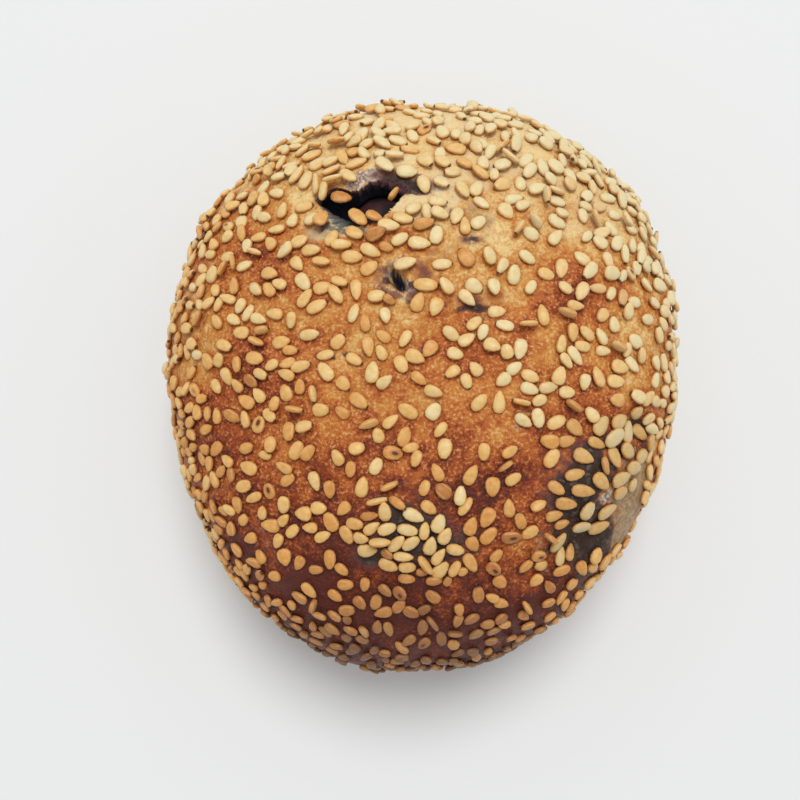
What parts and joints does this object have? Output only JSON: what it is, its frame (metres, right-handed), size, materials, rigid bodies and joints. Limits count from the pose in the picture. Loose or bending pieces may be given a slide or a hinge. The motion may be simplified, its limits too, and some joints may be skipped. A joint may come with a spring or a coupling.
{
  "type": "sesame bun",
  "caption": "Round domed baked bun thickly coated with sesame seeds, torn open near one end over a bean baked into it, with a flat foot to rest on.",
  "frame": {"origin": "middle of the flat foot, on the surface that the bun rests on", "axes": "+Z up through the dome, +Y towards the broad end with the tear, +X to the right when seen from above with +Y up"},
  "size_m": [0.0922, 0.1033, 0.0486],
  "materials": {
    "crust": "browned, finely grained bread crust under toasted sesame seeds, satin",
    "bean": "soft cooked bean skin, dark purple brown, a little wet"
  },
  "bodies": {
    "root": {"bun": "crust", "bean": "bean"}
  },
  "joints": []
}
